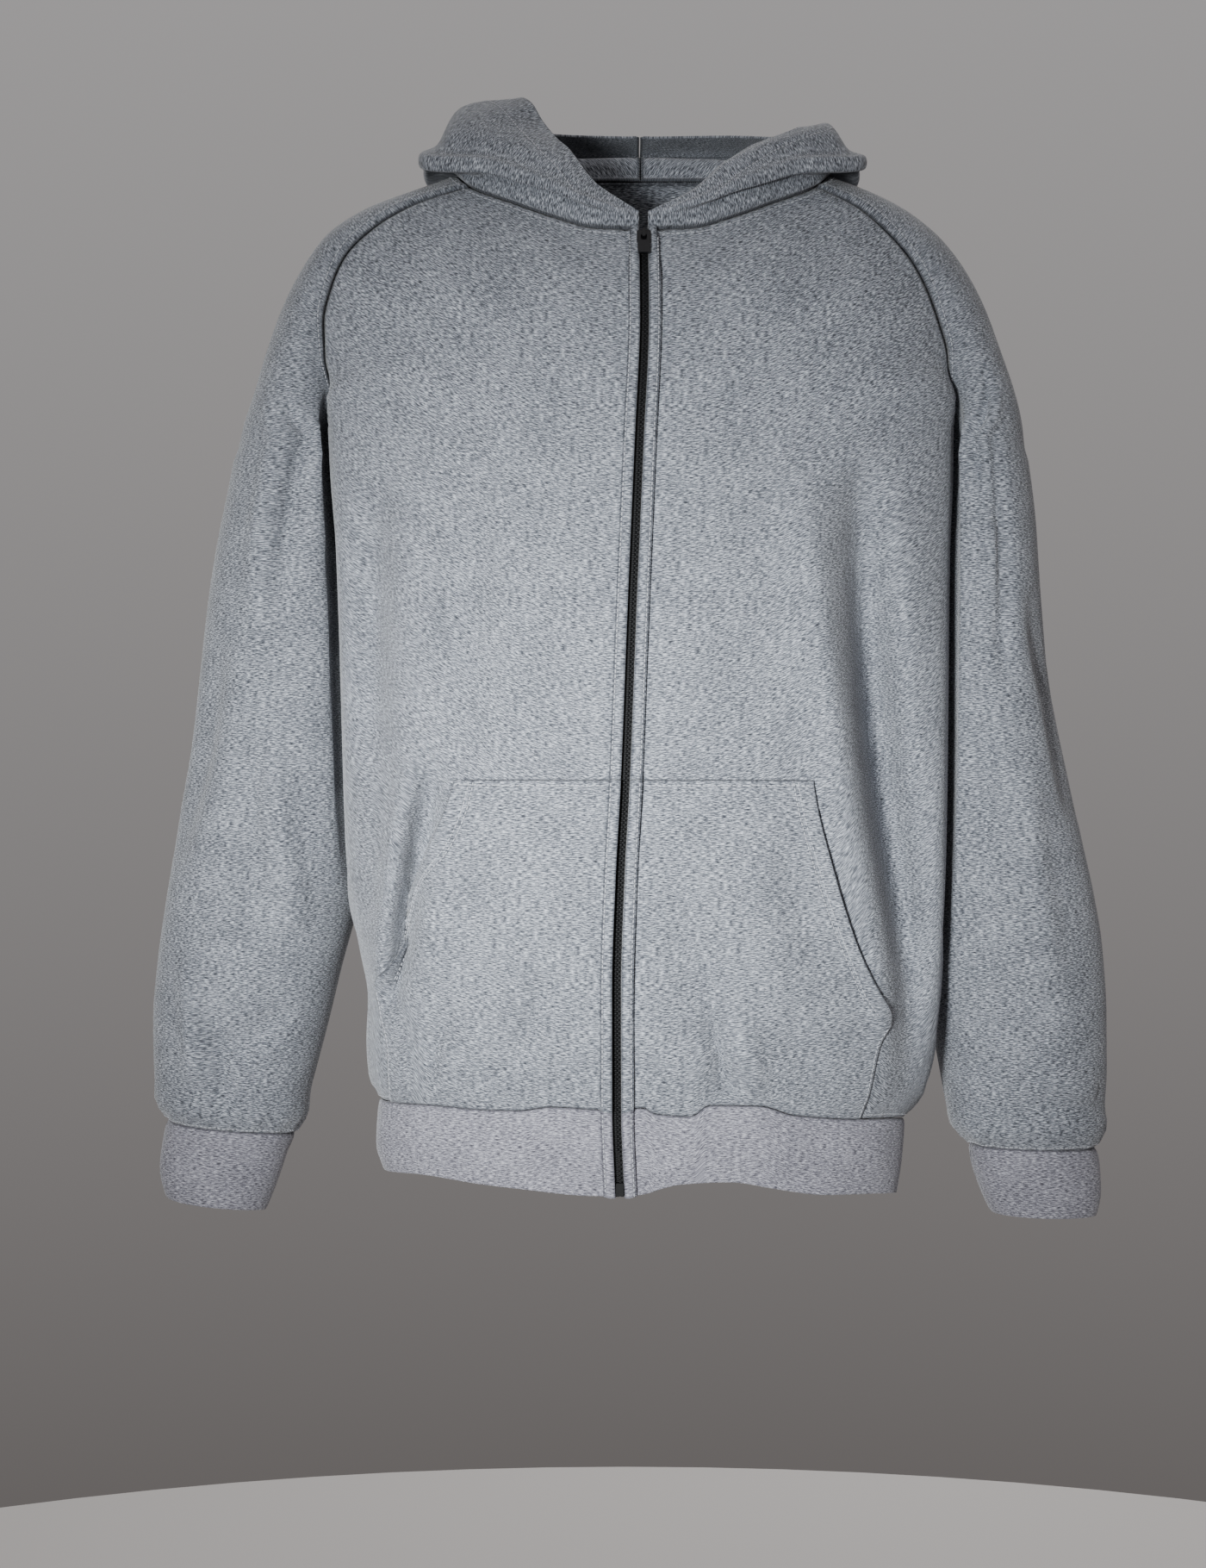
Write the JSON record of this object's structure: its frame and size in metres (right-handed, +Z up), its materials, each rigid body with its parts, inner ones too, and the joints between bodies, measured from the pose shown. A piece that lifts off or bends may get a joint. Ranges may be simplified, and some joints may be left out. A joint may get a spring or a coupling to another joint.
{
  "type": "zip up hoodie",
  "caption": "Zip-up hoodie in its worn shape, with raglan sleeves, split front pockets, a hem band, cuffs and a hood lying pushed back.",
  "frame": {"origin": "middle of the wearer's neck, level with the shoulder ends of the neck seam", "axes": "+X to the wearer's left, the front faces -Y, +Z up"},
  "size_m": [0.6928, 0.2965, 0.8122],
  "materials": {
    "marl_fleece": "grey marl cotton-blend sweatshirt fleece, short horizontal light and dark flecks",
    "band_rib": "grey marl fine rib, slightly lilac",
    "zip_tape": "black woven tape and moulded box",
    "zip_metal": "black painted metal, semi-matt"
  },
  "bodies": {
    "garment": {"front_right": "marl_fleece", "front_left": "marl_fleece", "back": "marl_fleece", "sleeve_right": "marl_fleece", "sleeve_left": "marl_fleece", "hood_right": "marl_fleece", "hood_left": "marl_fleece", "pocket_right": "marl_fleece", "pocket_left": "marl_fleece", "strip_chest_right": "marl_fleece", "strip_chest_left": "marl_fleece", "strip_pocket_right": "marl_fleece", "strip_pocket_left": "marl_fleece", "cuff_right": "band_rib", "cuff_left": "band_rib", "hem_band": "band_rib", "strip_hem_right": "band_rib", "strip_hem_left": "band_rib", "zip_tape_right": "zip_tape", "zip_tape_left": "zip_tape", "zip_box": "zip_tape", "zip_slider": "zip_metal"},
    "pull_tab": {"zip_pull": "zip_metal"}
  },
  "joints": [
    {"name": "pull_tab_swing", "type": "hinge", "parent": "garment", "child": "pull_tab", "pos_m": [0.0001, -0.097, -0.0635], "axis": [-1, 0, 0], "range_deg": [0, 150]}
  ]
}
